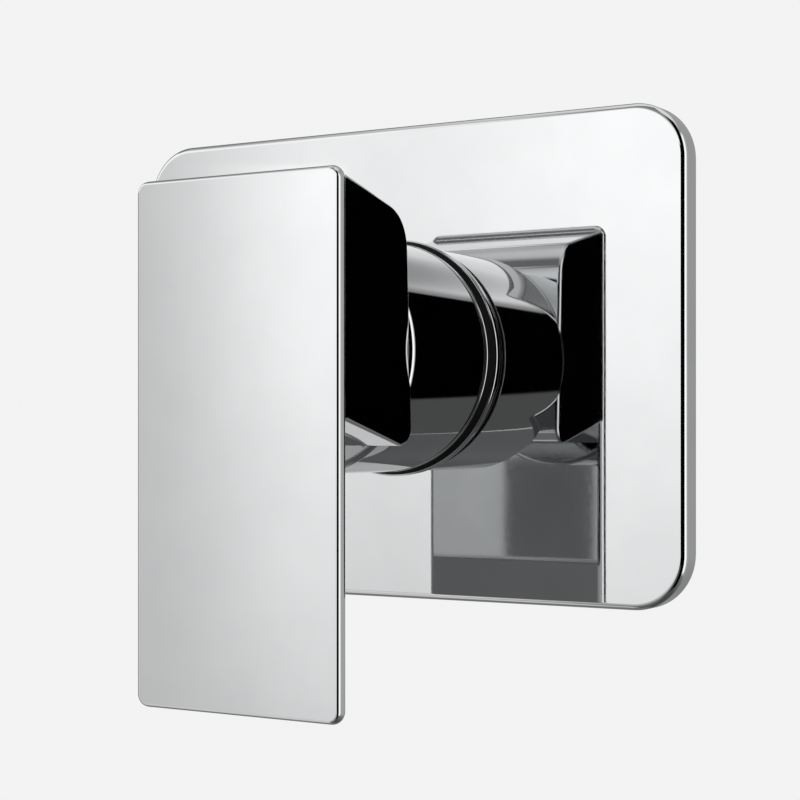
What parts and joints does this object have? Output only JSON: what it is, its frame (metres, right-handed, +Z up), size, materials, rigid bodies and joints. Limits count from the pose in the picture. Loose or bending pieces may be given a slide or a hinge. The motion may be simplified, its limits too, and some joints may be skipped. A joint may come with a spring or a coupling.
{
  "type": "shower valve trim",
  "caption": "Wall-mounted chrome shower valve trim: rounded rectangular plate, round hub and a flat paddle lever that turns the valve.",
  "frame": {"origin": "where the valve axis meets the finished wall face", "axes": "+Z up, +Y into the wall along the valve axis, +X to the right seen from the room"},
  "size_m": [0.158, 0.1069, 0.141],
  "materials": {
    "chrome": "mirror-bright chrome plating",
    "foam": "closed-cell foam",
    "frame_plastic": "moulded glass-filled plastic",
    "zinc_steel": "zinc-plated steel",
    "black_plastic": "low-friction moulded plastic",
    "brass": "turned brass",
    "rubber": "moulded rubber",
    "grey_plastic": "moulded plastic",
    "white_plastic": "moulded plastic",
    "ceramic": "lapped ceramic",
    "amber_plastic": "moulded plastic",
    "red_plastic": "moulded plastic",
    "stainless": "turned stainless steel"
  },
  "bodies": {
    "trim_body": {"escutcheon_plate": "chrome", "wall_gasket": "foam", "carrier_frame": "frame_plastic", "fixing_screws": "zinc_steel", "plate_clips": "stainless", "collar_ring": "chrome", "sleeve": "chrome", "wiper_ring": "rubber", "glide_ring": "black_plastic", "bonnet_nut": "brass", "sleeve_oring": "rubber", "cartridge_housing": "grey_plastic", "housing_oring": "rubber", "cartridge_base": "white_plastic", "port_seals": "rubber", "spool_plug": "grey_plastic", "fixed_disc": "ceramic", "limit_stop_ring": "red_plastic"},
    "handle": {"moving_disc": "ceramic", "disc_driver": "amber_plastic", "stem": "brass", "stem_oring": "rubber", "stop_arm": "amber_plastic", "handle_adapter": "brass", "adapter_screw": "zinc_steel", "hub_skirt": "chrome", "lever_handle": "chrome", "grub_screw": "stainless", "grub_plug": "chrome"},
    "spool": {"balance_spool": "stainless"}
  },
  "joints": [
    {"name": "handle_turn", "type": "hinge", "parent": "trim_body", "child": "handle", "pos_m": [0, -0.013, 0], "axis": [0, -1, 0], "range_deg": [0, 160]},
    {"name": "spool_slide", "type": "slide", "parent": "trim_body", "child": "spool", "axis": [1, 0, 0], "range_m": [-0.002, 0.002]}
  ]
}
